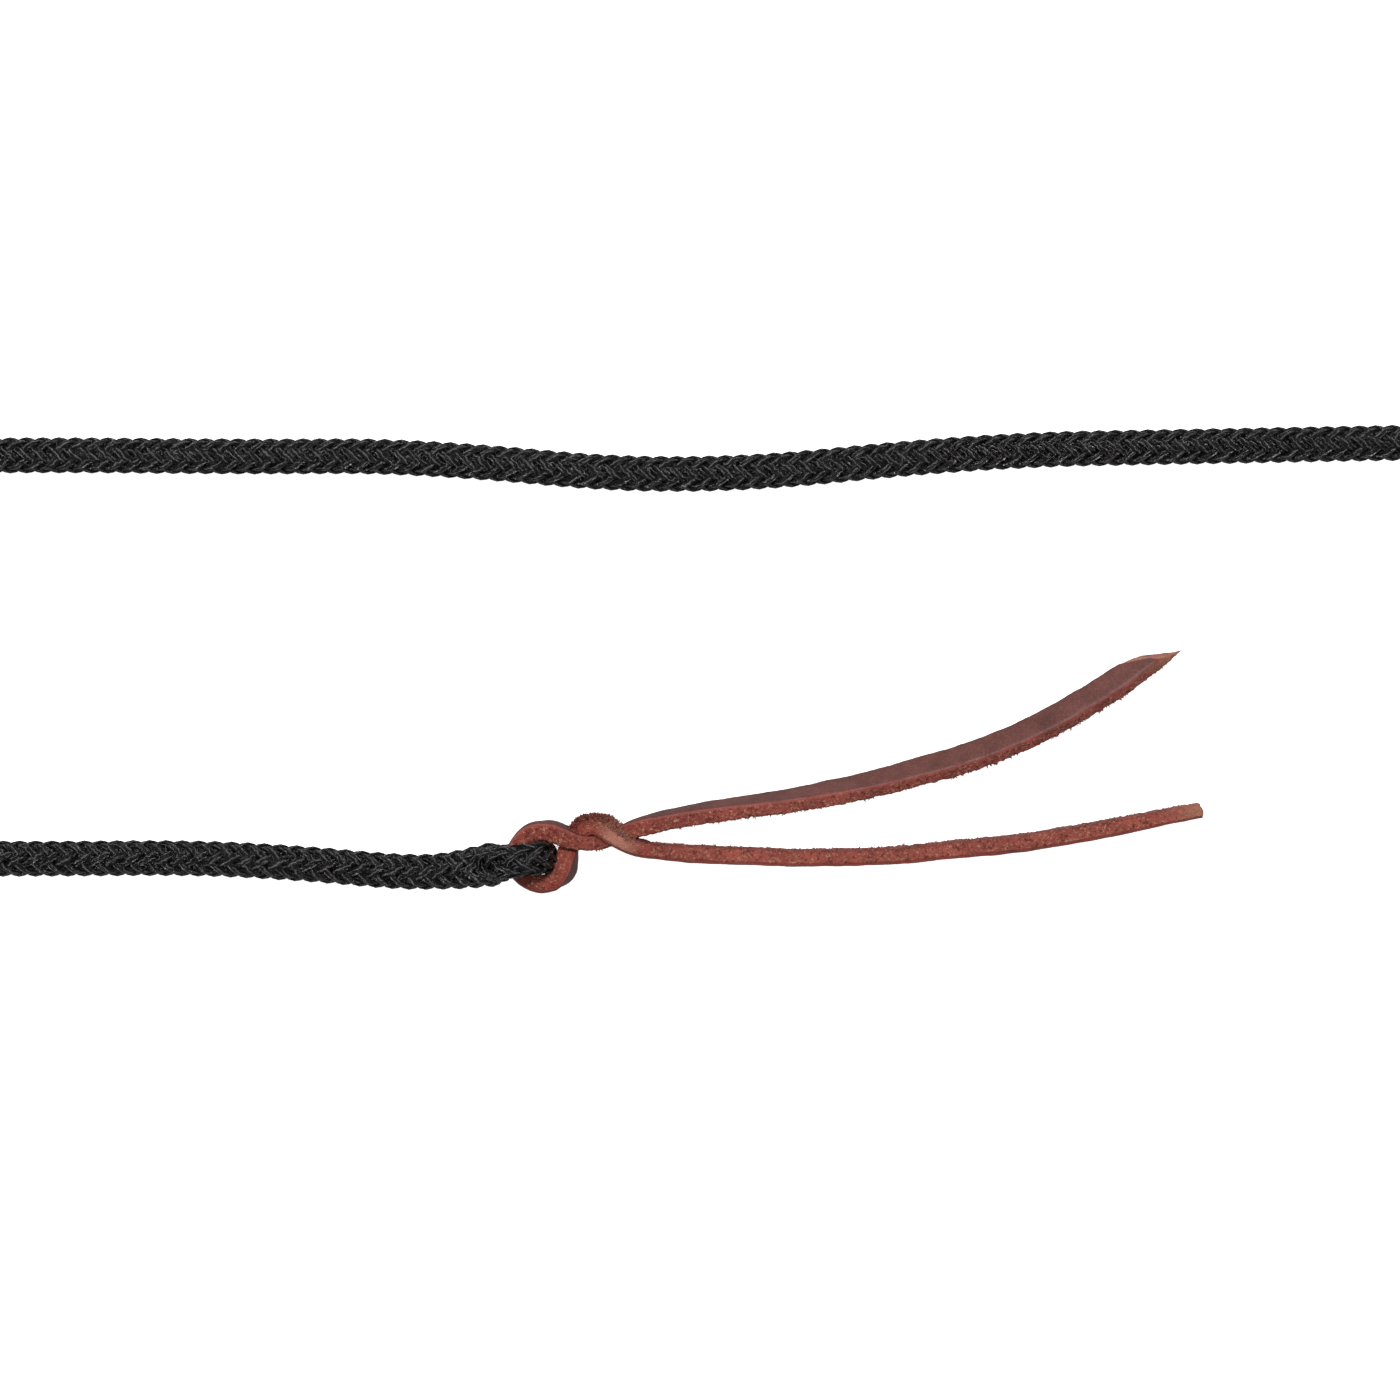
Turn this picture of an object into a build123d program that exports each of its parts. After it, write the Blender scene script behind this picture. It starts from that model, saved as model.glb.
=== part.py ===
from build123d import *
import os
from math import asin, cos, pi, radians, sin, tan

# Lead rope of a horse halter: a braided rope with a split leather popper in the eye at one end and a
# swivel bolt snap in the eye at the other. Millimetres; the rope lies on the floor, which is z = 0.
# +X runs along the long straight stretch, and +Y points from the popper to that stretch.

# --- rope -------------------------------------------------------------------
rope_d = 12.7
core_d = 8.4
cover_bore_d = 8.6
lie_z = rope_d / 2

# --- eye splices: the legs flatten, and the throat where they meet is thicker than the rope ---
eye_leg_w = 12.2
eye_throat_w = 15.8
eye_throat_h = 20.0

# --- coil of the spare rope -------------------------------------------------
coil_centre = (277.6, 10.4)
coil_ring_r = 85.5  # centreline of the outermost turn
coil_turns_across = 3.1  # rope diameters from the coil's inside to its outside
coil_layers = 2
coil_height = rope_d * coil_layers + 0.1

# --- popper: the eye of the rope and the leather thong in it -----------------
popper_at = (-140.3, -53.8)
popper_heading = 7.0  # degrees above +X
popper_hole_r = 4.8
popper_leg_t = 9.6
popper_splice = 32.0
first_run = 11.0  # from the end of the splice to the route's first bend
thong_t = 6.4  # leather thickness, seen from above, as the thong stands on edge
thong_w = 10.0
thong_pinch_w = 8.0  # its width where the rope's eye pinches it
ring_mid_r = 9.76
thong_reach = 246.0
thong_end_z = 5.9  # height of the tails' middle line at their tips

# --- swivel bolt snap -------------------------------------------------------
snap_at = (391.6, 8.5)
snap_hole_r = 3.6
snap_leg_t = 9.6
snap_splice = 24.0
ring_r = 16.0
ring_wire_r = 3.2
stem_r = 3.0
stem_bore_r = 3.2
collar_r = 6.5
collar_x = (20.0, 27.5)
head_r = 4.5
head_x = (28.0, 31.0)
cheek_y = (5.0, 7.2)
plate_t = 8.0  # thickness of the cast hook and web
web_x = (33.0, 38.0)
hook_x = 80.0  # centre of the hook's bend, measured from the ring's centre
hook_r = 8.0
hook_wall = 6.0
hook_tip = 3.0
barrel_y = 11.0
barrel_r = 5.5
barrel_x = (31.0, 64.0)
bore_r = 3.5
plug_t = 3.0
bolt_r = 3.2
bolt_x = (56.0, 76.7)
bolt_travel = 12.0
spring_wire_r = 0.4
spring_r = 2.5
spring_turns = 8
knob_x = 59.0
knob_stem_r = 1.5
knob_r = 4.0
knob_y = (17.4, 20.4)
slot_gap = 0.2


def corner_radii(points):
    """The largest arc that each corner of a route allows."""
    radii = []
    for before, corner, after in zip(points, points[1:], points[2:]):
        arriving = Vector(*corner) - Vector(*before)
        leaving = Vector(*after) - Vector(*corner)
        half_turn = radians(arriving.get_angle(leaving)) / 2
        radii.append(0.45 * min(arriving.length, leaving.length) / tan(half_turn))
    return radii


def tube(route, outer_d, inner_d=0.0):
    """A round rope, hollow where inner_d is given, along straight runs joined by tangent arcs."""
    radii = corner_radii(route)
    with BuildPart() as run:
        with BuildLine() as line:
            FilletPolyline(*route, radius=radii)
        path = line.wires()[0]
        with BuildSketch(Plane(origin=path @ 0, z_dir=path % 0)):
            Circle(outer_d / 2)
            if inner_d:
                Circle(inner_d / 2, mode=Mode.SUBTRACT)
        sweep(path=path)
    section = pi * (outer_d**2 - inner_d**2) / 4
    share = run.part.volume / (section * path.length)
    print("length", round(path.length, 1), "radii", [round(r, 1) for r in radii])
    print("volume over section times length", round(share, 4))
    return run


def eye_splice(frame, hole_r, leg_t, splice):
    """The eye at a rope's end: frame.z_dir points away from the rope and frame.x_dir is the hole's axis."""
    mid = hole_r + leg_t / 2
    floor = -frame.origin.Z
    throat = hole_r + 0.5
    with BuildPart() as eye:
        with BuildSketch(frame):
            with Locations((0, mid)):
                Ellipse(eye_leg_w / 2, leg_t / 2)
        revolve(axis=Axis(frame.origin, frame.x_dir), revolution_arc=180)
        # The upper leg comes down into the splice, and the lower one runs back along the floor.
        with BuildSketch(frame):
            with Locations((0, mid), (0, -mid)):
                Ellipse(eye_leg_w / 2, leg_t / 2)
        extrude(amount=-2)
        for start, end in ((mid, floor + eye_throat_h / 2 + 1), (-mid, floor + leg_t / 2)):
            with BuildSketch(frame.offset(-2)):
                with Locations((0, start)):
                    Ellipse(eye_leg_w / 2, leg_t / 2)
            with BuildSketch(frame.offset(-splice * 0.45)):
                with Locations((0, end)):
                    Ellipse(eye_leg_w / 2 - 0.6, leg_t / 2 - 0.4)
            loft()
        with BuildSketch(frame.offset(-throat)):
            with Locations((0, floor + eye_throat_h / 2)):
                Ellipse(eye_throat_w / 2, eye_throat_h / 2)
        with BuildSketch(frame.offset(-splice)):
            with Locations((0, floor + lie_z)):
                Circle(rope_d / 2)
        loft()
    return eye


def strap_outline(middle, half):
    """Closed outline of a strap of even width about its middle line."""
    left = []
    right = []
    for i, (x, y) in enumerate(middle):
        ahead = middle[min(i + 1, len(middle) - 1)]
        behind = middle[max(i - 1, 0)]
        along = (Vector(*ahead) - Vector(*behind)).normalized()
        left.append((x - along.Y * half, y + along.X * half))
        right.append((x + along.Y * half, y - along.X * half))
    Spline(*left)
    Spline(*right)
    Line(left[0], right[0])
    Line(left[-1], right[-1])


# Route of the rope from the popper's splice to the coil, past the wide turn at its left end.
popper_along = Vector(cos(radians(popper_heading)), sin(radians(popper_heading)))
popper_back = Vector(*popper_at) - popper_along * popper_splice
popper_first = popper_back - popper_along * first_run
low_run = [
    (popper_back.X, popper_back.Y, lie_z),
    (popper_first.X, popper_first.Y, lie_z),
    (-213.0, -55.4, lie_z),
    (-253.0, -53.0, lie_z),
    (-304.5, -53.5, lie_z),
]
turn_centre = (-335.0, 18.3)
turn_r = 71.6
turn_run = []
for spoke in (-112.5, -157.5, -202.5, -247.5):
    reach = turn_r / cos(radians(22.5))
    turn_x = turn_centre[0] + reach * cos(radians(spoke))
    turn_y = turn_centre[1] + reach * sin(radians(spoke))
    turn_run.append((turn_x, turn_y, lie_z))
high_run = [
    (-304.5, 90.5, lie_z),
    (-235.0, 90.6, lie_z),
    (-174.4, 91.0, lie_z),
    (-88.4, 82.5, lie_z),
    (25.6, 92.9, lie_z),
    (105.0, 94.3, lie_z),
    (187.0, 95.8, lie_z),
    (266.0, 95.9, lie_z),
]
main_route = low_run + turn_run + high_run

# Route of the tail: off the coil's upper layer, down and round to the snap's splice.
tail_corner = 50.0
tail_step = tail_corner * 2 * tan(radians(15))
tail_y = coil_centre[1] + coil_ring_r
tail_x = snap_at[0] - tail_corner
top_z = rope_d * 1.5
tail_route = [
    (tail_x - tail_step * 1.5, tail_y, top_z),
    (tail_x - tail_step / 2, tail_y, top_z - 0.8),
]
tail_falls = {75: 4.0, 45: 8.6, 15: 12.7}
for spoke, fall in tail_falls.items():
    reach = tail_corner / cos(radians(15))
    corner_x = tail_x + reach * cos(radians(spoke))
    corner_y = tail_y - tail_corner + reach * sin(radians(spoke))
    tail_route.append((corner_x, corner_y, top_z - fall))
tail_route.append((snap_at[0], snap_at[1] + snap_splice, lie_z))

rope_cover = tube(main_route, rope_d, cover_bore_d)
rope_core = tube(main_route, core_d)
rope_tail = tube(tail_route, rope_d)

with BuildPart() as rope_coil:
    with BuildSketch(Plane(origin=(*coil_centre, 0), x_dir=(1, 0, 0), z_dir=(0, -1, 0))):
        across = coil_turns_across * rope_d
        with Locations((coil_ring_r + rope_d / 2 - across / 2, coil_height / 2)):
            RectangleRounded(across, coil_height, rope_d * 0.45)
    revolve(axis=Axis((*coil_centre, 0), (0, 0, 1)))

# --- popper -------------------------------------------------------------------
popper_eye_z = popper_hole_r + popper_leg_t
popper_across = Vector(-popper_along.Y, popper_along.X, 0)
popper_origin = Vector(*popper_at, popper_eye_z)
popper_eye_frame = Plane(origin=popper_origin, x_dir=popper_across, z_dir=popper_along)
popper_eye = eye_splice(popper_eye_frame, popper_hole_r, popper_leg_t, popper_splice)

# The thong leans down from the eye until its tails touch the floor.
thong_dip = asin((popper_eye_z - thong_end_z) / thong_reach)
thong_x = Vector(popper_along.X * cos(thong_dip), popper_along.Y * cos(thong_dip), -sin(thong_dip))
thong = Plane(origin=popper_origin, x_dir=thong_x, z_dir=thong_x.cross(popper_across))
upper_strap = [
    (ring_mid_r, ring_mid_r),
    (14.8, 9.0),
    (18.5, 6.9),
    (22.5, 4.1),
    (27.0, 2.2),
    (32.7, 2.2),
    (38.8, 4.4),
    (45.5, 6.3),
    (54.0, 7.5),
]
# The upper tail: place along and across, and how far its grain side has turned up, in degrees.
upper_tail = [
    (53.0, 7.4, 4),
    (67.0, 8.4, 12),
    (89.0, 8.9, 16),
    (125.0, 10.9, 21),
    (145.0, 13.3, 28),
    (162.0, 16.2, 34),
    (177.0, 19.7, 39),
    (192.0, 24.4, 42),
    (207.0, 30.3, 45),
    (222.0, 37.0, 45),
    (236.0, 42.2, 45),
]
upper_tip = (245.5, 44.8, 45)
lower_strap = [
    (ring_mid_r, -ring_mid_r),
    (14.0, -8.6),
    (17.6, -5.5),
    (19.5, -1.3),
    (20.3, 2.9),
    (21.9, 6.8),
    (25.2, 9.6),
    (29.4, 10.3),
    (33.4, 8.5),
    (36.7, 4.9),
    (39.9, 0.9),
    (44.6, -2.2),
    (51.5, -4.3),
    (66.0, -6.5),
    (87.0, -9.6),
    (122.0, -14.0),
    (158.0, -15.9),
    (187.0, -16.1),
    (216.0, -14.5),
    (246.0, -12.2),
]
ring_in = ring_mid_r - thong_t / 2
ring_out = ring_mid_r + thong_t / 2


def tail_section(station, before):
    """The plane square to a tail at one station, turned by its twist."""
    turned = radians(station[2])
    middle = thong.from_local_coords((station[0], station[1], 0))
    if station == before:
        along = thong.x_dir
    else:
        along = (middle - thong.from_local_coords((before[0], before[1], 0))).normalized()
    aside = thong.z_dir.cross(along)
    return Plane(origin=middle, x_dir=aside * cos(turned) + thong.z_dir * sin(turned), z_dir=along)


with BuildPart() as popper_thong:
    with BuildSketch(thong.offset(-thong_w / 2)):
        with BuildLine():
            strap_outline(upper_strap, thong_t / 2)
        make_face()
        with BuildLine():
            strap_outline(lower_strap, thong_t / 2)
        make_face()
        with Locations((ring_mid_r, 0)):
            Circle(ring_out)
            Circle(ring_in, mode=Mode.SUBTRACT)
        with Locations((ring_mid_r - ring_out, 0)):
            Rectangle(ring_out * 2, ring_out * 2 + 1, mode=Mode.SUBTRACT)
    extrude(amount=thong_w)
    stations = upper_tail + [upper_tip]
    for i, station in enumerate(stations):
        size = 1 if i < len(upper_tail) else 0.3
        with BuildSketch(tail_section(station, stations[max(i - 1, 0)])):
            Rectangle(thong_t * size, thong_w * size)
    loft(ruled=True)
    ring_origin = thong.from_local_coords((ring_mid_r, 0, 0))
    with BuildSketch(Plane(origin=ring_origin, x_dir=thong.y_dir, z_dir=-thong.x_dir)):
        with Locations((ring_mid_r, 0)):
            RectangleRounded(thong_t, thong_pinch_w, 1.5)
    revolve(axis=Axis(ring_origin, thong.z_dir), revolution_arc=180)

# --- swivel bolt snap ---------------------------------------------------------
snap_eye_z = snap_hole_r + snap_leg_t
snap_origin = Vector(*snap_at, snap_eye_z)
snap_eye_frame = Plane(origin=snap_origin, x_dir=(1, 0, 0), z_dir=(0, -1, 0))
snap_eye = eye_splice(snap_eye_frame, snap_hole_r, snap_leg_t, snap_splice)

# The snap points along -Y, leans down until the hook touches the floor, and has its barrel towards +X.
snap_reach = ring_r + hook_x + hook_r + hook_wall
snap_dip = asin((snap_eye_z - plate_t / 2 - 0.1) / snap_reach)
snap_x = Vector(0, -cos(snap_dip), -sin(snap_dip))
ring_centre = snap_origin + snap_x * ring_r
snap = Plane(origin=ring_centre, x_dir=snap_x, z_dir=snap_x.cross(Vector(1, 0, 0)))


def across_snap(x, y=0.0):
    """The plane square to the snap's long axis, x from the ring's centre and y to the barrel's side."""
    return Plane(origin=snap.from_local_coords((x, y, 0)), x_dir=snap.y_dir, z_dir=snap.x_dir)


def facing_knob(x, y):
    """The plane that faces the barrel's outer side, where the thumb knob stands."""
    return Plane(origin=snap.from_local_coords((x, y, 0)), x_dir=snap.x_dir, z_dir=snap.y_dir)


with BuildPart() as swivel_eye:
    with BuildSketch(Plane(origin=ring_centre, x_dir=snap.x_dir, z_dir=-snap.y_dir)):
        with Locations((ring_r, 0)):
            Circle(ring_wire_r)
    revolve(axis=Axis(ring_centre, snap.z_dir))
    with BuildSketch(across_snap(ring_r + 1)):
        Circle(stem_r)
    extrude(amount=head_x[0] - ring_r)
    with BuildSketch(across_snap(head_x[0])):
        Circle(head_r)
    extrude(amount=head_x[1] - head_x[0], taper=12)

with BuildPart() as snap_body:
    with BuildSketch(snap.offset(-plate_t / 2)):
        with BuildLine():
            far_r = hook_r + hook_wall
            Polyline((web_x[0], -far_r), (hook_x, -far_r))
            RadiusArc((hook_x, -far_r), (hook_x + far_r, 0), -far_r)
            RadiusArc((hook_x + far_r, 0), (hook_x, far_r), -far_r)
            tip_x = hook_x - hook_tip
            Polyline((hook_x, far_r), (tip_x, far_r), (tip_x, hook_r), (hook_x, hook_r))
            RadiusArc((hook_x, hook_r), (hook_x + hook_r, 0), hook_r)
            RadiusArc((hook_x + hook_r, 0), (hook_x, -hook_r), hook_r)
            Polyline((hook_x, -hook_r), (web_x[1], -hook_r), (web_x[1], barrel_y))
            Polyline((web_x[1], barrel_y), (web_x[0], barrel_y), (web_x[0], -far_r))
        make_face()
    extrude(amount=plate_t)
    flat_faces = faces().filter_by(Axis(snap.origin, snap.z_dir))
    fillet(flat_faces.edges(), radius=1.2)
    with BuildSketch(across_snap(collar_x[0])):
        Circle(collar_r)
    extrude(amount=collar_x[1] - collar_x[0])
    cheek_mid = (cheek_y[0] + cheek_y[1]) / 2
    with BuildSketch(across_snap(collar_x[1] - 1)):
        with Locations((cheek_mid, 0), (-cheek_mid, 0)):
            Rectangle(cheek_y[1] - cheek_y[0], plate_t - 1)
    extrude(amount=web_x[0] - collar_x[1] + 2)
    with BuildSketch(across_snap(collar_x[0])):
        Circle(stem_bore_r)
    extrude(amount=collar_x[1] - collar_x[0], mode=Mode.SUBTRACT)
    with BuildSketch(across_snap(barrel_x[0], barrel_y)):
        Circle(barrel_r)
    extrude(amount=barrel_x[1] - barrel_x[0])
    with BuildSketch(across_snap(barrel_x[0], barrel_y)):
        Circle(bore_r)
    extrude(amount=barrel_x[1] - barrel_x[0], mode=Mode.SUBTRACT)
    slot_r = knob_stem_r + slot_gap
    with BuildSketch(facing_knob(knob_x - bolt_travel / 2, barrel_y)):
        SlotCenterToCenter(bolt_travel, slot_r * 2)
    extrude(amount=barrel_r + 1, mode=Mode.SUBTRACT)

with BuildPart() as barrel_plug:
    with BuildSketch(across_snap(barrel_x[0], barrel_y)):
        Circle(bore_r)
    extrude(amount=plug_t)

spring_x = (barrel_x[0] + plug_t + spring_wire_r + 0.05, bolt_x[0] - spring_wire_r - 0.05)
spring_length = spring_x[1] - spring_x[0]
spring_foot = snap.from_local_coords((spring_x[0], barrel_y, 0))
with BuildPart() as bolt_spring:
    with BuildLine() as coil_line:
        Helix(
            pitch=spring_length / spring_turns,
            height=spring_length,
            radius=spring_r,
            center=spring_foot,
            direction=snap.x_dir,
        )
    wire_path = coil_line.wires()[0]
    with BuildSketch(Plane(origin=wire_path @ 0, z_dir=wire_path % 0)):
        Circle(spring_wire_r)
    sweep(path=wire_path, is_frenet=True)

with BuildPart() as snap_bolt:
    with BuildSketch(across_snap(bolt_x[0], barrel_y)):
        Circle(bolt_r)
    extrude(amount=bolt_x[1] - bolt_x[0])
    fillet(edges().filter_by(GeomType.CIRCLE), radius=0.6)
    with BuildSketch(facing_knob(knob_x, barrel_y)):
        Circle(knob_stem_r)
    extrude(amount=bolt_r + 1, mode=Mode.SUBTRACT)

with BuildPart() as thumb_knob:
    with BuildSketch(facing_knob(knob_x, barrel_y)):
        Circle(knob_stem_r)
    extrude(amount=knob_y[0] - barrel_y)
    with BuildSketch(facing_knob(knob_x, knob_y[0])):
        Circle(knob_r)
    extrude(amount=knob_y[1] - knob_y[0])
    fillet(edges().filter_by(GeomType.CIRCLE).group_by(SortBy.RADIUS)[-1], radius=1.0)

# --- files --------------------------------------------------------------------
pieces = {
    "rope_cover": rope_cover,
    "rope_core": rope_core,
    "rope_coil": rope_coil,
    "rope_tail": rope_tail,
    "popper_eye": popper_eye,
    "popper_thong": popper_thong,
    "snap_eye": snap_eye,
    "swivel_eye": swivel_eye,
    "snap_body": snap_body,
    "barrel_plug": barrel_plug,
    "bolt_spring": bolt_spring,
    "snap_bolt": snap_bolt,
    "thumb_knob": thumb_knob,
}
os.makedirs("parts", exist_ok=True)
for name, piece in pieces.items():
    piece.part.label = name
    export_step(piece.part, f"parts/{name}.step")
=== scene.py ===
from math import asin, cos, pi, radians, sin, sqrt, tan

import bpy
import numpy as np
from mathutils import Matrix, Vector
from mathutils.noise import noise as lattice_noise


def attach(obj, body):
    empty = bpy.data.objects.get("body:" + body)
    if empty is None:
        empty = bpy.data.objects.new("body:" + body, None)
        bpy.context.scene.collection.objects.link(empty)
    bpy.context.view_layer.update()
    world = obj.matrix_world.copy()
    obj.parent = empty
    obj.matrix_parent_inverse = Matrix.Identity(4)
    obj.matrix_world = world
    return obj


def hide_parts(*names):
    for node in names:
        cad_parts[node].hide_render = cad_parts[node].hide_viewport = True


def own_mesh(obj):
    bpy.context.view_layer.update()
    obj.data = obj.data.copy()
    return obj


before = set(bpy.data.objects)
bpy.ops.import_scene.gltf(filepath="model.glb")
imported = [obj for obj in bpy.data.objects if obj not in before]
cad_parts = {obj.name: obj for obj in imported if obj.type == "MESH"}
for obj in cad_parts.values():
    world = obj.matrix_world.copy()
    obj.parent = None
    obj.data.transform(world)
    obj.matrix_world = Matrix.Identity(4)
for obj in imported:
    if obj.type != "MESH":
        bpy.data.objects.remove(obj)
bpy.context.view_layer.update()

# Metres throughout, in the CAD's frame, apart from the leather's own plane. The floor is z = 0.

ROPE_D = 0.0127
LIE_Z = ROPE_D / 2

# Braid: eight strands each way round, each passing over two and under two of the others.
STRANDS = 8
LAY = 0.0464  # the length in which one strand goes once round the rope
STRAND_MID = 0.00480  # from the rope's middle to a strand's
STRAND_WAVE = 0.00080  # how far a strand rises over the others and sinks beneath them
STRAND_W = 0.00154  # half its width
STRAND_T = 0.00092  # half its thickness
STRAND_REACH = STRAND_MID + STRAND_WAVE + STRAND_T  # the braid's outermost point
STRAND_STEP = 0.00145  # along the rope
STRAND_SIDES = 8
CORE_R = STRAND_MID - STRAND_WAVE - 0.0002  # just under the strands
CORE_SIDES = 12

# Towards its eyes the rope grows wider and higher over these lengths, and in the throat its end closes in.
POPPER_SWELL = 0.030
SNAP_SWELL = 0.024
SWELL_WIDER = 0.24
SWELL_HIGHER = 0.50
THROAT = 0.002
THROAT_OPEN = 0.05  # how far into the closing the rope's end is

# At the popper the braid is rolled by half its strands' spacing. Over this stretch it goes as far the
# other way.
ROLL_FROM = 0.17
ROLL_LENGTH = 0.20

POPPER_AT = Vector((-0.1403, -0.0538, 0.0144))
POPPER_HEADING = radians(7.0)
POPPER_HOLE_R = 0.0048
SNAP_AT = Vector((0.3916, 0.0085, 0.0132))
SNAP_HOLE_R = 0.0036

EYE_STRETCH = 1.15  # how much longer than round the eye is
EYE_HALF_WIDTH = 0.0061
EYE_LEG_T = 0.0096
EYE_BLUNT = 0.75
EYE_TURN_POINTS = 10
EYE_STEP = STRAND_STEP * 0.8

WIDE_TURN_AT = (-0.3350, 0.0183)
WIDE_TURN_R = 0.0716
TAIL_TURN_R = 0.050

COIL_CENTRE = (0.2776, 0.0104)
COIL_RING_R = 0.0855
COIL_TURNS = 4
COIL_PITCH = 0.013
COIL_POINTS = 16  # for each turn
COIL_CLIMB_AT = 1.85  # after so many turns the rope climbs onto the lower layer
COIL_CLIMB = 0.3  # in turns

CAMERA_AT = (-0.0744, 0.0031)
CAMERA_HIGH = 1.3916
CAMERA_SENSOR = 36
VIEW_WIDTH = 0.5012


# --- the rope's route -----------------------------------------------------------------------


def smooth(t):
    """From 0 to 1 with level ends."""
    t = min(max(t, 0.0), 1.0)
    return t * t * (3 - 2 * t)


def coil_points():
    """Inward on the floor, up over the innermost turn, and outward on top, clockwise from above."""
    points = []
    cut_in = (3 + cos(2 * pi / COIL_POINTS)) / 4  # how far inside its points such a curve runs
    for k in range(COIL_TURNS * COIL_POINTS):
        t = (k + 0.5) / COIL_POINTS
        from_end = min(t, COIL_TURNS - t, COIL_CLIMB_AT)
        radius = (COIL_RING_R - COIL_PITCH * from_end) / cut_in
        z = LIE_Z + ROPE_D * smooth((t - COIL_CLIMB_AT) / COIL_CLIMB)
        x = COIL_CENTRE[0] + radius * sin(2 * pi * t)
        y = COIL_CENTRE[1] + radius * cos(2 * pi * t)
        points.append((x, y, z))
    return points


def popper_stretch_points():
    """From the popper's throat to the wide turn."""
    return [
        (-0.1437, -0.0546, 0.0098),
        (-0.1522, -0.0561, 0.0083),
        (-0.1625, -0.0577, LIE_Z),
        (-0.1760, -0.0583, LIE_Z),
        (-0.1920, -0.0573, LIE_Z),
        (-0.2130, -0.0553, LIE_Z),
        (-0.2530, -0.0530, LIE_Z),
        (-0.3045, -0.0535, LIE_Z),
    ]


def wide_turn_points():
    """Half way round, with a point for every 45 degrees, so far out that the curve runs at its radius."""
    points = []
    reach = WIDE_TURN_R / cos(radians(22.5))
    for spoke in (-112.5, -157.5, -202.5, -247.5):
        x = WIDE_TURN_AT[0] + reach * cos(radians(spoke))
        y = WIDE_TURN_AT[1] + reach * sin(radians(spoke))
        points.append((x, y, LIE_Z))
    return points


def long_stretch_points():
    """From the wide turn to the coil."""
    return [
        (-0.3045, 0.0905, LIE_Z),
        (-0.2350, 0.0898, LIE_Z),
        (-0.1744, 0.0902, LIE_Z),
        (-0.0800, 0.0812, LIE_Z),
        (0.0256, 0.0921, LIE_Z),
        (0.1050, 0.0935, LIE_Z),
        (0.1870, 0.0950, LIE_Z),
        (0.2660, 0.0959, LIE_Z),
    ]


def tail_points():
    """Off the top of the coil, round a corner down to the floor, and into the snap's throat."""
    reach = TAIL_TURN_R / cos(radians(15))
    step = TAIL_TURN_R * 2 * tan(radians(15))
    top_z = ROPE_D * 1.5
    x = SNAP_AT.x - TAIL_TURN_R
    y = COIL_CENTRE[1] + COIL_RING_R
    points = [(x - step * 1.5, y, top_z), (x - step / 2, y, top_z - 0.0008)]
    for spoke, fall in ((75, 0.0040), (45, 0.0086), (15, 0.0127)):
        across = reach * cos(radians(spoke))
        back = reach * sin(radians(spoke)) - TAIL_TURN_R
        points.append((x + across, y + back, top_z - fall))
    points.append((SNAP_AT.x, SNAP_AT.y + 0.024, LIE_Z))
    points.append((SNAP_AT.x, SNAP_AT.y + 0.0125, 0.0085))
    points.append((SNAP_AT.x, SNAP_AT.y + 0.0045, 0.0098))
    return points


def rope_points():
    """From the popper's throat to the snap's throat."""
    return (
        popper_stretch_points()
        + wide_turn_points()
        + long_stretch_points()
        + coil_points()
        + tail_points()
    )


def eye_points(at, along, hole_r):
    """Out of the throat, down over the upper leg and round the hole, and back along the floor."""
    mid = hole_r + EYE_LEG_T / 2
    low = EYE_LEG_T / 2 - at.z
    points = [
        (-0.0150, low + 0.0045),
        (-0.0100, low + 0.0080),
        (-0.0062, 0.0010 + mid * 0.55),
        (-0.0035, mid * 0.93),
    ]
    radius = mid / cos(pi / EYE_TURN_POINTS / 2)
    for k in range(EYE_TURN_POINTS):
        angle = pi / 2 - pi * (k + 0.5) / EYE_TURN_POINTS
        points.append((radius * cos(angle) * EYE_STRETCH, radius * sin(angle)))
    points += [
        (-0.0040, -mid),
        (-0.0090, low + 0.0003),
        (-0.0150, low + 0.0018),
    ]
    return [at + along * s + Vector((0, 0, h)) for s, h in points]


def smooth_line(points):
    """The points of a smooth curve that the control points draw."""
    curve = bpy.data.curves.new("route", "CURVE")
    curve.dimensions = "3D"
    curve.resolution_u = 12
    spline = curve.splines.new("NURBS")
    spline.points.add(len(points) - 1)
    for spot, point in zip(spline.points, points):
        spot.co = (*point, 1)
    spline.order_u = 3
    spline.use_endpoint_u = True
    holder = bpy.data.objects.new("route", curve)
    drawn = bpy.data.meshes.new_from_object(holder)
    line = np.array([v.co[:] for v in drawn.vertices])
    bpy.data.objects.remove(holder)
    bpy.data.meshes.remove(drawn)
    bpy.data.curves.remove(curve)
    return line


def evenly(line, step):
    """The same line as points one step apart, and each point's distance from its start."""
    gaps = np.linalg.norm(np.diff(line, axis=0), axis=1)
    line = line[np.append(True, gaps > 1e-9)]
    gaps = np.linalg.norm(np.diff(line, axis=0), axis=1)
    run = np.append(0, np.cumsum(gaps))
    count = max(int(round(run[-1] / step)), 4)
    where = np.linspace(0, run[-1], count + 1)
    even = np.stack([np.interp(where, run, line[:, i]) for i in range(3)], axis=1)
    return even, where


def unit(vectors):
    """The same vectors at length 1."""
    return vectors / np.maximum(np.linalg.norm(vectors, axis=-1, keepdims=True), 1e-12)


def sides_of(line, across=None):
    """Unit vectors aside and up from the line: aside lies level, or is the one given."""
    along = unit(np.gradient(line, axis=0))
    if across is None:
        aside = unit(np.cross([0, 0, 1], along))
    else:
        aside = np.tile(across, (len(line), 1))
    return aside, unit(np.cross(along, aside))


# --- meshes ---------------------------------------------------------------------------------


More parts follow.
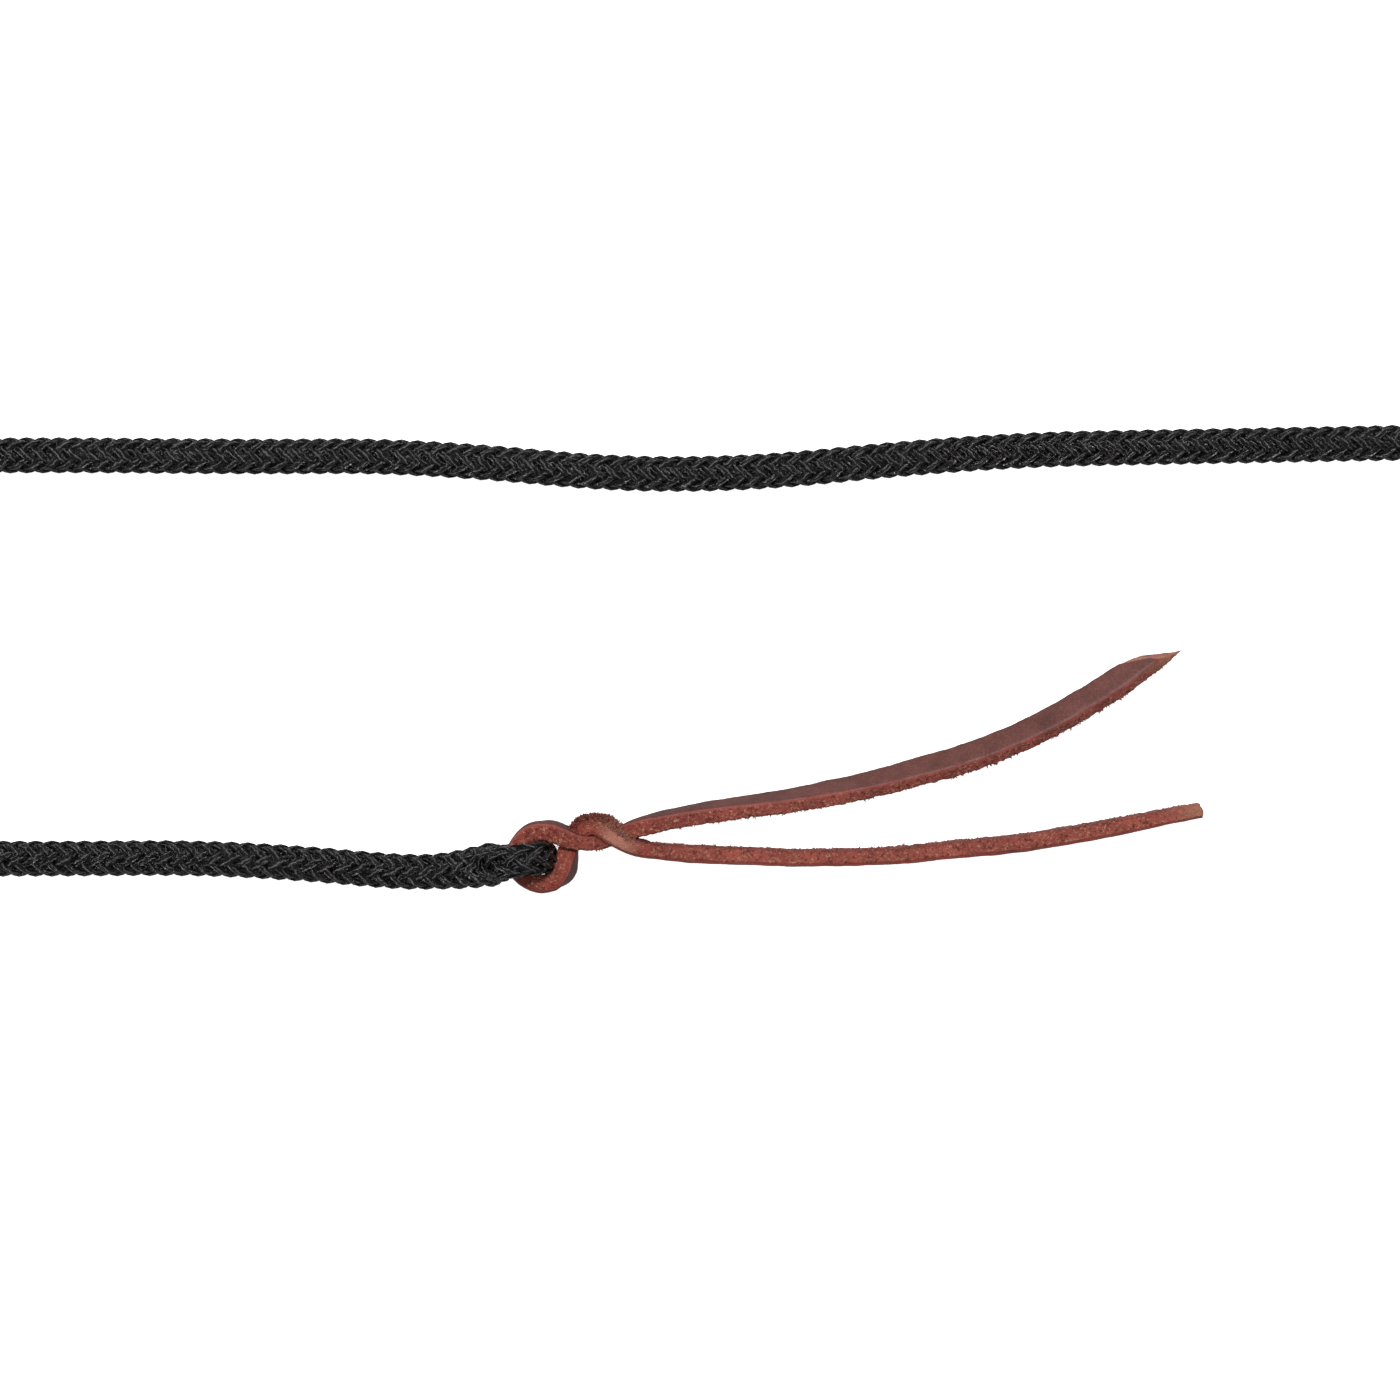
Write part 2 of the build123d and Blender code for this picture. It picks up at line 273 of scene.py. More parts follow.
def mesh_object(name, vertices, faces, uvs=None, flat=False):
    """An object of quads, smooth unless flat, with one UV for each corner of each face."""
    mesh = bpy.data.meshes.new(name)
    mesh.vertices.add(len(vertices))
    mesh.vertices.foreach_set("co", np.ascontiguousarray(vertices, dtype=np.float32).ravel())
    corners = faces.shape[1]
    mesh.loops.add(faces.size)
    mesh.loops.foreach_set("vertex_index", np.ascontiguousarray(faces, dtype=np.int32).ravel())
    mesh.polygons.add(len(faces))
    mesh.polygons.foreach_set("loop_start", np.arange(len(faces), dtype=np.int32) * corners)
    mesh.polygons.foreach_set("use_smooth", np.full(len(faces), not flat))
    mesh.update(calc_edges=True)
    if uvs is not None:
        layer = mesh.uv_layers.new(name="strand")
        layer.data.foreach_set("uv", np.ascontiguousarray(uvs, dtype=np.float32).ravel())
    mesh.validate()
    made = bpy.data.objects.new(name, mesh)
    bpy.context.scene.collection.objects.link(made)
    return made


def skin(rings, v, u_size=1.0):
    """Quads between rings of points, closed round each ring and open at its ends, with their UVs.

    u goes once round a ring, from 0 to u_size, and v has one value for each ring.
    """
    count, sides = rings.shape[:2]
    i, j = np.meshgrid(np.arange(count - 1), np.arange(sides), indexing="ij")
    i = i.ravel()
    j = j.ravel()
    after = (j + 1) % sides
    low = i * sides
    high = low + sides
    faces = np.stack([low + j, low + after, high + after, high + j], axis=1)
    u = j / sides * u_size
    u_on = (j + 1) / sides * u_size
    corners = [(u, v[i]), (u_on, v[i]), (u_on, v[i + 1]), (u, v[i + 1])]
    uvs = np.stack([np.stack(corner, axis=1) for corner in corners], axis=1)
    return rings.reshape(-1, 3), faces, uvs


def joined(skins):
    """Several skins as one set of points, faces and UVs."""
    vertices = []
    faces = []
    uvs = []
    start = 0
    for points, quads, corner_uvs in skins:
        vertices.append(points)
        faces.append(quads + start)
        uvs.append(corner_uvs)
        start += len(points)
    return np.concatenate(vertices), np.concatenate(faces), np.concatenate(uvs)


def tube(middle, first, second, sides, run):
    """The skin of an oval tube about a line: first and second reach from it to the tube's two sides."""
    rings = []
    for side in range(sides):
        angle = 2 * pi * side / sides
        rings.append(middle + first * cos(angle) + second * sin(angle))
    return skin(np.stack(rings, axis=1), run)


def squared(values, blunt):
    """Values from -1 to 1, pushed outwards where blunt is below 1."""
    return np.sign(values) * np.abs(values) ** blunt


def braid(name, line, wide, high, across=None, blunt=1.0, roll=0.0):
    """A hollow braid about a line, with a core. wide and high scale its section, which blunt makes squarer.

    roll turns the braid about the line. A strand crosses two others on top and then two beneath.
    """
    aside, up = sides_of(line, across)
    run = np.append(0, np.cumsum(np.linalg.norm(np.diff(line, axis=0), axis=1)))
    fit = np.sqrt(wide * high)[:, None]
    wide = wide[:, None]
    high = high[:, None]
    skins = []
    for hand in (1, -1):
        for k in range(STRANDS):
            spiral = hand * 2 * pi * run / LAY + 2 * pi * (k + (hand < 0) * 0.5) / STRANDS
            radius = STRAND_MID + hand * STRAND_WAVE * np.sin(spiral * STRANDS / 2)
            turn = (spiral + roll)[:, None]
            sideways = squared(np.cos(turn), blunt) * wide
            upwards = squared(np.sin(turn), blunt) * high
            middle = line + (aside * sideways + up * upwards) * radius[:, None]
            forward = unit(np.gradient(middle, axis=0))
            normal = aside * (np.cos(turn) * high) + up * (np.sin(turn) * wide)
            normal = unit(normal - forward * np.sum(normal * forward, axis=1, keepdims=True))
            flank = np.cross(forward, normal)
            skins.append(tube(middle, flank * STRAND_W * fit, normal * STRAND_T * fit, STRAND_SIDES, run))
    skins.append(tube(line, aside * wide * CORE_R, up * high * CORE_R, CORE_SIDES, run))
    return mesh_object(name, *joined(skins))


# --- the popper -------------------------------------------------------------------------------

# How the leather's own plane lies: it dips from the rope's eye to the floor over this length, in metres.
THONG_REACH = 0.246
THONG_END_Z = 0.0059

# Millimetres from here on, in the leather's own plane, which to_thong() lays in the scene.
RING_MID = 9.5
RING_AT = 10.1
RING_ROLL = 4
RING_HALF_W = 5.0
RING_HALF_T = 3.2
RING_PINCH = 1.0  # how much narrower each half is in the rope's eye
RING_PINCH_OVER = 30  # degrees
STRAP_STEP = 0.40
STRAP_CORNER = 0.8
SIDE_POINTS = 9
STATION_STEPS = 40

# The upper tail is cut slantwise to a point. The lower one thins and is cut square, with worn corners.
TIP_SLANT = 5.0
TIP_POINT = 6.0
TIP_FADE = 40.0  # beyond this length from the end its cut has no effect
TAIL_WEAR = 0.9
TAIL_FADE = 8.0
TAIL_THINNER = 0.18
TAIL_THIN_LENGTH = 40.0
CAP_SIZES = (0.02, 0.4, 0.75)
CAP_STEP = 0.1

# Round the section, u is 0 to 1 on the cut edge, 1 to 2 on the grain, 2 to 3 on the other edge and 3 to 4 on
# the flesh side.
GRAIN_MIDDLE = 1.5
GRAIN_REACH = 0.6
GRAIN_FULL = 1.15
FLESH_FROM = 3.0
FLESH_MIDDLE = 3.5
FLESH_TO = 4.0
FLESH_REACH = 0.9
FLESH_EDGE_REACH = 0.10

# How rough the leather is on each side, and its bumps and slow waver as size, seed and height.
PLAIN_DEPTH = 0.16
FLESH_DEPTH = 0.34
FLESH_EDGE_DEPTH = 0.45
GRAIN_DEPTH = 0.05
BUMPS = ((1.6, 3.1, 0.7), (0.7, 8.7, 0.6))
WAVER = (6.0, 1.3, 0.35)

# Torn fibres, many of them on the knot that the two straps make.
TUFT_TRIES = 6000
TUFT_ROOT = 0.15
TUFT_LEAN = 0.55
TUFT_BEND = 0.35
TUFT_WIDTH = (0.18, 0.16)  # the least, and how much more the most is; so too below
TUFT_RINGS = ((0.0, 1.0), (0.55, 0.7), (1.0, 0.12))  # share of the length, share of the width
TUFT_CORNERS = (0, 2.09, 4.19)
TUFT_U = 0.05
TUFT_PALE_U = (0.3, 0.5)  # some tufts have the cut edge's colour
TUFT_MARGIN = 4
EDGE_TUFT_LENGTH = (0.3, 1.0)
EDGE_TUFT_SCATTER = 0.06
CLUMP_SIZE = 7.0
CLUMP_SEED = (2.2, 0.4)
CLUMP_CHANCE = 0.45
CLUMP_MORE = 1.2
KNOT_SHARE = 0.42
KNOT_TUFT_LENGTH = (0.5, 1.0)
KNOT_TUFT_SPAN = 1.12
KNOT_TOP = (30.0, 11.0, 0.0)
KNOT_BEFORE = 12.0
KNOT_AFTER = 14.0

# Middle line in the thong's own plane: along, across, up, roll in degrees (grain side turned up), half
# width, half thickness.
# Upper tail, from its tip to the ring's top.
UPPER_STRAP = [
    (242.5, 49.7, 0.0, 50, 5.0, 2.8),
    (233.5, 44.0, 0.0, 50, 5.0, 2.8),
    (222.5, 37.4, 0.0, 50, 5.0, 2.8),
    (207.2, 30.3, 0.0, 50, 5.0, 2.8),
    (192.0, 24.2, 0.0, 48, 5.0, 2.8),
    (177.0, 19.5, 0.0, 46, 5.0, 2.8),
    (162.2, 16.1, 0.0, 43, 5.0, 2.8),
    (140.1, 12.7, 0.0, 38, 5.0, 2.8),
    (125.4, 10.9, 0.0, 33, 5.0, 2.8),
    (103.6, 9.3, 0.0, 25, 5.0, 2.8),
    (89.1, 8.9, 0.0, 20, 5.0, 2.8),
    (67.4, 8.5, 0.0, 14, 5.0, 2.9),
    (52.9, 7.4, 0.0, 9, 5.0, 3.0),
    (45.5, 6.4, 0.0, 4, 4.6, 3.1),
    (38.8, 4.8, -0.4, 0, 2.6, 2.9),
    (33.3, 3.4, -0.3, 0, 3.2, 2.7),
    (27.5, 3.0, 0.2, 2, 4.8, 2.7),
    (22.8, 4.3, 0.4, 4, 5.2, 2.9),
    (18.8, 6.5, 0.3, 7, 5.1, 3.4),
    (14.9, 8.5, 0.0, 7, 5.0, 3.5),
]
# From the ring's bottom under the other strap, over it, and on to the lower tail's tip.
LOWER_STRAP = [
    (13.4, -8.9, 0.0, 2, 5.0, 3.2),
    (17.0, -6.2, 0.0, 14, 5.0, 3.4),
    (18.5, -2.2, -0.4, 14, 4.2, 3.6),
    (19.9, 2.2, -0.6, 4, 2.6, 3.4),
    (22.2, 6.0, -0.2, -2, 2.8, 3.0),
    (25.6, 8.5, 0.6, -3, 4.7, 3.2),
    (29.4, 9.2, 0.9, -4, 5.0, 3.2),
    (33.1, 7.8, 1.0, -14, 5.0, 3.2),
    (36.6, 4.9, 0.9, -17, 5.0, 3.1),
    (40.2, 1.6, 0.6, -12, 5.0, 2.9),
    (45.0, -1.0, 0.2, -8, 5.0, 2.7),
    (52.0, -3.1, 0.0, -5, 5.0, 2.7),
    (65.6, -5.8, -0.2, -3, 5.0, 3.0),
    (86.9, -9.3, -0.3, -4, 5.0, 2.9),
    (101.0, -11.4, -0.4, -4, 5.0, 2.85),
    (122.4, -13.8, -0.4, -4, 5.0, 2.85),
    (136.7, -14.9, -0.5, -4, 5.0, 2.85),
    (158.3, -15.4, -0.6, -5, 5.0, 2.85),
    (172.6, -15.9, -0.6, -5, 5.0, 2.85),
    (187.0, -15.8, -0.7, -5, 5.0, 2.85),
    (201.6, -15.1, -0.7, -5, 5.0, 2.85),
    (216.1, -14.3, -0.8, -5, 5.0, 2.9),
    (230.7, -13.1, -0.8, -5, 5.0, 2.9),
    (246.0, -12.2, -0.8, -5, 4.8, 2.9),
]

RUBBED_AT = (37.5, 3.8, 0.6)  # where the lower strap crosses over the upper one


def ring_stations():
    """The ring round the rope's eye, anticlockwise from its top: its left half is pinched in the eye."""
    stations = []
    for angle in range(80, 281, 20):
        pinch = smooth((angle - 90) / RING_PINCH_OVER) * smooth((270 - angle) / RING_PINCH_OVER)
        roll = RING_ROLL * (1 - pinch)
        x = RING_AT + RING_MID * cos(radians(angle))
        y = RING_MID * sin(radians(angle))
        stations.append((x, y, 0.0, roll, RING_HALF_W - RING_PINCH * pinch, RING_HALF_T))
    return stations


def through(stations, step):
    """A smooth curve through stations, as values one step apart along it."""
    values = np.array(stations, dtype=float)
    padded = np.vstack([2 * values[0] - values[1], values, 2 * values[-1] - values[-2]])
    t = np.linspace(0, 1, STATION_STEPS, endpoint=False)[:, None]
    pieces = []
    for a, b, c, d in zip(padded, padded[1:], padded[2:], padded[3:]):
        square = 2 * a - 5 * b + 4 * c - d
        cube = 3 * b - a - 3 * c + d
        pieces.append(0.5 * (2 * b + (c - a) * t + square * t**2 + cube * t**3))
    fine = np.vstack([*pieces, values[-1:]])
    run = np.append(0, np.cumsum(np.linalg.norm(np.diff(fine[:, :3], axis=0), axis=1)))
    where = np.linspace(0, run[-1], int(run[-1] / step))
    return np.stack([np.interp(where, run, column) for column in fine.T], axis=1), where


def strap_section():
    """Points round a strap of unit half thickness and half width, each as (grain-wards, edge-wards)."""
    points = []
    for k in range(4 * SIDE_POINTS):
        side, i = divmod(k, SIDE_POINTS)
        f = 2 * i / SIDE_POINTS - 1
        points.append([(f, 1), (1, -f), (-f, -1), (-1, f)][side])
    return np.array(points, dtype=float)


def rounded(section, half_t, half_w):
    """A section's points in millimetres, with its corners rounded."""
    square = section * [half_t, half_w]
    straight = np.array([half_t, half_w]) - STRAP_CORNER
    inner = np.clip(square, -straight, straight)
    return inner + STRAP_CORNER * unit(square - inner)


def rough(points, size, seed, height):
    """Smooth noise for each point, up to about half the height either way."""
    spots = points / size + seed
    return np.array([lattice_noise(spot) for spot in spots.tolist()]) * height


def fading(distance, length):
    """From 1 at no distance to 0 at the length and beyond."""
    return np.clip(1 - distance / length, 0, 1)


def strap_frames():
    """Nine numbers along the strap (middle, way to the grain, way to the edge), half sizes and run."""
    values, run = through(UPPER_STRAP + ring_stations() + LOWER_STRAP, STRAP_STEP)
    middle = values[:, :3]
    along = unit(np.gradient(middle, axis=0))
    right = unit(np.cross(along, [0, 0, 1]))
    upright = np.cross(right, along)
    roll = np.radians(values[:, 3])[:, None]
    grain = right * np.cos(roll) + upright * np.sin(roll)
    edge = upright * np.cos(roll) - right * np.sin(roll)
    return np.hstack([middle, grain, edge]), values[:, 4], values[:, 5], run


def cut_frames(frames, run, section):
    """The frames of each point of the section, moved along the strap so that its ends are cut to shape."""
    from_end = run[-1] - run
    columns = []
    for grain, edge in section:
        first = TIP_SLANT * (1 + grain) + TIP_POINT * (1 - edge)
        last = TAIL_WEAR * (grain * grain + edge * edge)
        where = run + first * fading(run, TIP_FADE) - last * fading(from_end, TAIL_FADE)
        columns.append(np.stack([np.interp(where, run, number) for number in frames.T], axis=1))
    return np.stack(columns, axis=1)


def strap_points(columns, half_w, half_t, run, section):
    """The points round each station of the smooth strap."""
    half_t = half_t * (1 - TAIL_THINNER * fading(run[-1] - run, TAIL_THIN_LENGTH))
    points = np.empty((len(run), len(section), 3))
    for i, column in enumerate(columns):
        flat = rounded(section, half_t[i], half_w[i])
        points[i] = column[:, :3] + column[:, 3:6] * flat[:, :1] + column[:, 6:9] * flat[:, 1:]
    return points


def leather_relief(points):
    """How far each point stands out: most on the torn flesh side and its edges, least on the grain."""
    u = np.arange(points.shape[1]) / SIDE_POINTS
    flesh = fading(np.abs(u - FLESH_MIDDLE), FLESH_REACH) ** 0.5
    to_flesh_edge = np.minimum(np.abs(u - FLESH_FROM), np.minimum(u, FLESH_TO - u))
    flesh_edge = np.exp(-((to_flesh_edge / FLESH_EDGE_REACH) ** 2))
    grain = np.clip(GRAIN_FULL - np.abs(u - GRAIN_MIDDLE) / GRAIN_REACH, 0, 1)
    depth = PLAIN_DEPTH + FLESH_DEPTH * flesh + FLESH_EDGE_DEPTH * flesh_edge
    depth = depth * (1 - grain) + GRAIN_DEPTH * grain
    flat_points = points.reshape(-1, 3)
    bumps = sum(rough(flat_points, *bump_kind) for bump_kind in BUMPS)
    waver = rough(flat_points, *WAVER)
    shape = points.shape[:2]
    return bumps.reshape(shape) * depth + waver.reshape(shape)


def to_thong(points):
    """From the thong's own plane, in millimetres, to the scene."""
    dip = asin((POPPER_AT.z - THONG_END_Z) / THONG_REACH)
    level = np.array([cos(POPPER_HEADING), sin(POPPER_HEADING), 0])
    across = np.array([-sin(POPPER_HEADING), cos(POPPER_HEADING), 0])
    along = level * cos(dip) - np.array([0, 0, sin(dip)])
    up = np.cross(along, across)
    shape = np.stack([along, across, up])
    return np.array(POPPER_AT) + (points / 1000) @ shape


def cap_rings(ring, sizes):
    """Smaller rings about a ring's middle, which close the strap's end."""
    middle = ring.mean(axis=0)
    return np.array([middle + (ring - middle) * size for size in sizes])


def strap_skin(points, run):
    """The strap's skin, with both its ends closed."""
    first = cap_rings(points[0], CAP_SIZES)
    last = cap_rings(points[-1], CAP_SIZES[::-1])
    rings = np.concatenate([first, points, last])
    beyond = CAP_STEP * np.arange(1, len(CAP_SIZES) + 1)
    v = np.concatenate([-beyond[::-1], run, run[-1] + beyond]) / 1000
    return skin(to_thong(rings), v, FLESH_TO)


def nearest_on(middle, run, place):
    """How far along a line it comes nearest to a place."""
    return run[np.argmin(np.linalg.norm(middle - place, axis=1))]


def tuft_place(chance, run, knot_rows):
    """A tuft's row, its u and its length, or nothing where the leather grows none."""
    if chance.random() < KNOT_SHARE:
        row = chance.choice(knot_rows)
        u = FLESH_FROM + chance.random() * KNOT_TUFT_SPAN
        length = KNOT_TUFT_LENGTH[0] + KNOT_TUFT_LENGTH[1] * chance.random()
        return row, u, length
    row = chance.integers(TUFT_MARGIN, len(run) - TUFT_MARGIN)
    clump = lattice_noise((float(run[row]) / CLUMP_SIZE, *CLUMP_SEED))
    if chance.random() > CLUMP_CHANCE + clump * CLUMP_MORE:
        return None
    u = chance.choice([FLESH_FROM, FLESH_TO]) + chance.normal() * EDGE_TUFT_SCATTER
    length = EDGE_TUFT_LENGTH[0] + EDGE_TUFT_LENGTH[1] * chance.random() ** 2
    return row, u, length


def tuft_rings(chance, foot, outward, length):
    """A thin bent spike of three sides, which leans at random."""
    lean = unit(outward + chance.normal(size=3) * TUFT_LEAN)
    side = unit(np.cross(lean, chance.normal(size=3)))
    other = np.cross(lean, side)
    width = TUFT_WIDTH[0] + TUFT_WIDTH[1] * chance.random()
    rings = []
    for part, share in TUFT_RINGS:
        centre = foot + lean * (length * part) + side * (part * part * length * TUFT_BEND)
        rings.append([centre + (side * cos(a) + other * sin(a)) * width * share for a in TUFT_CORNERS])
    return np.array(rings)


def tufts(points, outward, run):
    """Torn fibres that stand up from the flesh side and its two edges."""
    chance = np.random.default_rng(11)
    knot = nearest_on(points.mean(axis=1), run, KNOT_TOP)
    knot_rows = np.flatnonzero((run > knot - KNOT_BEFORE) & (run < knot + KNOT_AFTER))
    made = []
    for _ in range(TUFT_TRIES):
        place = tuft_place(chance, run, knot_rows)
        if place is None:
            continue
        row, u, length = place
        j = int(round(u * SIDE_POINTS)) % points.shape[1]
        foot = points[row, j] - outward[row, j] * TUFT_ROOT
        rings = tuft_rings(chance, foot, outward[row, j], length)
        v = np.full(len(rings), run[row] / 1000)
        vertices, faces, uvs = skin(to_thong(rings), v, TUFT_U)
        made.append((vertices, faces, uvs + [chance.choice([u % FLESH_TO, *TUFT_PALE_U]), 0]))
    return made


def make_popper():
    """The leather with its fibres, in place of its CAD solid."""
    frames, half_w, half_t, run = strap_frames()
    section = strap_section()
    columns = cut_frames(frames, run, section)
    points = strap_points(columns, half_w, half_t, run, section)
    outward = unit(points - columns[:, :, :3])
    points = points + outward * leather_relief(points)[:, :, None]
    skins = [strap_skin(points, run)] + tufts(points, outward, run)
    popper = mesh_object("popper_leather", *joined(skins))
    lower = run > run[-1] / 2
    rubbed = nearest_on(frames[lower, :3], run[lower], RUBBED_AT)
    popper.data.materials.append(leather_material(run[-1] / 1000, rubbed / 1000))
    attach(popper, "popper")
    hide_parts("popper_thong")


# --- materials ------------------------------------------------------------------------------

# Colours are linear. A ramp's stops are places and colours, and the leather's are places along u.
BLACK = (0, 0, 0)
WHITE = (1, 1, 1)

ROPE_BLACK = (0.012, 0.011, 0.012)
# The rope's colours run from painted shade, in the gaps between yarns and between strands, up to the pale
# tops of the yarns.
ROPE_TONES_AND_SHADE = [
    (0.32, (0.0012, 0.0011, 0.0012)),
    (0.52, (0.005, 0.0047, 0.0049)),
    (0.80, (0.056, 0.053, 0.054)),
]
STRAND_YARNS = 6  # all round a strand, so about three in sight
YARN_SLANT = 120.0  # how many yarns a strand's side passes in a metre
YARN_WOBBLE = 1.2
YARN_FUZZ = 1.8
YARN_DEPTH = 0.00040
# Painted shade: the valleys between the yarns and each strand's flanks, in the gaps among its neighbours,
# are coloured darker than its crest.
YARN_PAINTED_SHADE = 0.22
CREST_PAINTED_LIGHT = 0.50
PAINTED_SHADE_SHIFT = -0.46

LEATHER_OILED = (0.2, 0.06, 0.045)
LEATHER_CUT = (0.205, 0.047, 0.034)
LEATHER_PLAIN = (0.155, 0.028, 0.021)
LEATHER_GRAIN = (0.080, 0.026, 0.022)
LEATHER_FLESH = (0.165, 0.034, 0.026)
LEATHER_FLECK = (0.50, 0.24, 0.155)
LEATHER_PIT = (0.055, 0.006, 0.005)
GRAIN_BLOOM = (0.34, 0.24, 0.21)
TIP_COLOUR = (0.40, 0.20, 0.13)
RUBBED_COLOUR = (0.46, 0.22, 0.155)
LEATHER_CLOUD = [(0.3, (0.72, 0.72, 0.72)), (0.7, (1.2, 1.2, 1.2))]
LEATHER_OIL = [(0.55, (0.80, 0.68, 0.66)), (0.85, WHITE)]
RING_BEFORE_RUB = 0.055  # the oiled ring's place on the strap, before the rubbed crossing, in metres
LEATHER_TINTS = [
    (0.0, LEATHER_FLESH),
    (0.035, LEATHER_CUT),
    (0.185, LEATHER_CUT),
    (0.205, LEATHER_PLAIN),
    (0.240, LEATHER_PLAIN),
    (0.256, LEATHER_GRAIN),
    (0.494, LEATHER_GRAIN),
    (0.512, LEATHER_PLAIN),
    (0.560, LEATHER_CUT),
    (0.715, LEATHER_CUT),
    (0.750, LEATHER_FLESH),
    (1.0, LEATHER_FLESH),
]
LEATHER_FIBRE = [
    (0.0, (0.8, 0.8, 0.8)),
    (0.030, WHITE),
    (0.190, WHITE),
    (0.215, (0.1, 0.1, 0.1)),
    (0.245, BLACK),
    (0.505, BLACK),
    (0.545, WHITE),
    (0.720, WHITE),
    (0.760, (0.7, 0.7, 0.7)),
    (1.0, (0.7, 0.7, 0.7)),
]


def new_material(name, colour, roughness, **sockets):
    """A principled material, its node tree's helper and its shader."""
    material = bpy.data.materials.new(name)
    material.use_nodes = True
    shader = material.node_tree.nodes["Principled BSDF"]
    shader.inputs["Base Color"].default_value = (*colour, 1)
    shader.inputs["Roughness"].default_value = roughness
    for socket, value in sockets.items():
        shader.inputs[socket.replace("_", " ")].default_value = value
    return material, material.node_tree, shader


def node(tree, kind, **settings):
    made = tree.nodes.new("ShaderNode" + kind)
    for setting, value in settings.items():
        setattr(made, setting, value)
    return made


def object_place(tree):
    return node(tree, "TexCoord").outputs["Object"]


def noise(tree, vector, scale, detail=4.0, roughness=0.6):
    made = node(tree, "TexNoise")
    made.inputs["Scale"].default_value = scale
    made.inputs["Detail"].default_value = detail
    made.inputs["Roughness"].default_value = roughness
    tree.links.new(vector, made.inputs["Vector"])
    return made.outputs["Fac"]


def ramp(tree, factor, stops):
    """A colour ramp through (place, colour) stops."""
    made = node(tree, "ValToRGB")
    elements = made.color_ramp.elements
    elements[0].position, elements[0].color = stops[0][0], (*stops[0][1], 1)
    elements[1].position, elements[1].color = stops[-1][0], (*stops[-1][1], 1)
    for place, colour in stops[1:-1]:
        elements.new(place).color = (*colour, 1)
    tree.links.new(factor, made.inputs["Fac"])
    return made.outputs["Color"]


def bump(tree, shader, height, distance, strength=1.0):
    made = node(tree, "Bump")
    made.inputs["Distance"].default_value = distance
    made.inputs["Strength"].default_value = strength
    tree.links.new(height, made.inputs["Height"])
    tree.links.new(made.outputs["Normal"], shader.inputs["Normal"])


def maths(tree, operation, *values):
    """A maths node's output; each input is a socket or a number."""
    made = node(tree, "Math", operation=operation)
    for socket, value in zip(made.inputs, values):
        if hasattr(value, "links"):
            tree.links.new(value, socket)
        else:
            socket.default_value = value
    return made.outputs[0]


def product(tree, first, *others):
    """Sockets or numbers, multiplied together."""
    for other in others:
        first = maths(tree, "MULTIPLY", first, other)
    return first


def scaled(tree, value, factor, added):
    """value times factor, plus added."""
    return maths(tree, "MULTIPLY_ADD", value, factor, added)


def apart(tree, value, place):
    """How far a value is from a place on its scale."""
    return maths(tree, "ABSOLUTE", maths(tree, "SUBTRACT", value, place))


def mixed(tree, factor, first, second, blend="MIX"):
    """One colour over another: each is a socket or a colour."""
    made = node(tree, "Mix", data_type="RGBA", blend_type=blend)
    for socket, value in ((made.inputs[0], factor), (made.inputs[6], first), (made.inputs[7], second)):
        if hasattr(value, "links"):
            tree.links.new(value, socket)
        else:
            socket.default_value = (*value, 1) if isinstance(value, tuple) else value
    return made.outputs[2]


def uv_parts(tree, name):
    """A UV map's two numbers."""
    uv = node(tree, "UVMap", uv_map=name)
    split = node(tree, "SeparateXYZ")
    tree.links.new(uv.outputs["UV"], split.inputs["Vector"])
    return split.outputs["X"], split.outputs["Y"]


def rope_material():
    """Black shiny yarns, which waver and slant a little in their strand, with painted shade between the
    yarns and towards each strand's flanks.
    """
    material, tree, shader = new_material("braided_rope", ROPE_BLACK, roughness=0.20, IOR=1.45)
    around, on = uv_parts(tree, "strand")
    place = object_place(tree)
    slant = scaled(tree, on, YARN_SLANT, product(tree, around, STRAND_YARNS))
    slant = scaled(tree, noise(tree, place, scale=500, detail=1.0), YARN_WOBBLE, slant)
    yarns = maths(tree, "COSINE", product(tree, slant, 2 * pi))
    height = scaled(tree, noise(tree, place, scale=1500, detail=3.0), YARN_FUZZ, yarns)
    bump(tree, shader, height, YARN_DEPTH)
    tone_and_shade = noise(tree, place, scale=600, detail=3.0, roughness=0.7)
    # A random tone, with painted shade in the valleys between the yarns and lighter yarn tops.
    tone_and_shade = scaled(tree, yarns, YARN_PAINTED_SHADE, tone_and_shade)
    # Painted shade on each strand's flanks, in the gaps between strands; its crest is left lighter.
    crest = maths(tree, "SINE", product(tree, around, 2 * pi))
    tone_and_shade = maths(tree, "ADD", tone_and_shade, scaled(tree, crest, CREST_PAINTED_LIGHT, PAINTED_SHADE_SHIFT))
    tree.links.new(ramp(tree, tone_and_shade, ROPE_TONES_AND_SHADE), shader.inputs["Base Color"])
    return material


def leather_tint(tree, place, side, on, rubbed_at):
    """The colour of each side, cloudy, and darker with oil at the ring."""
    tint = ramp(tree, side, LEATHER_TINTS)
    cloud = ramp(tree, noise(tree, place, scale=110, detail=3.0), LEATHER_CLOUD)
    from_ring = apart(tree, on, rubbed_at - RING_BEFORE_RUB)
    oil = ramp(tree, product(tree, from_ring, 10.0), LEATHER_OIL)
    return mixed(tree, 1.0, mixed(tree, 1.0, tint, cloud, "MULTIPLY"), oil, "MULTIPLY")


def leather_flecks(tree, place):
    """Pale fibres: thin lines, broken up by specks."""
    line = apart(tree, noise(tree, place, scale=520, detail=2.5), 0.5)
    fibres = ramp(tree, line, [(0.0, WHITE), (0.05, BLACK)])
    specks = ramp(tree, noise(tree, place, scale=800, detail=3.0), [(0.44, BLACK), (0.56, WHITE)])
    return product(tree, fibres, specks)


def leather_pits(tree, place):
    """Dark pits among the fibres."""
    pits = noise(tree, place, scale=700, detail=3.0, roughness=0.65)
    return ramp(tree, pits, [(0.36, WHITE), (0.47, BLACK)])


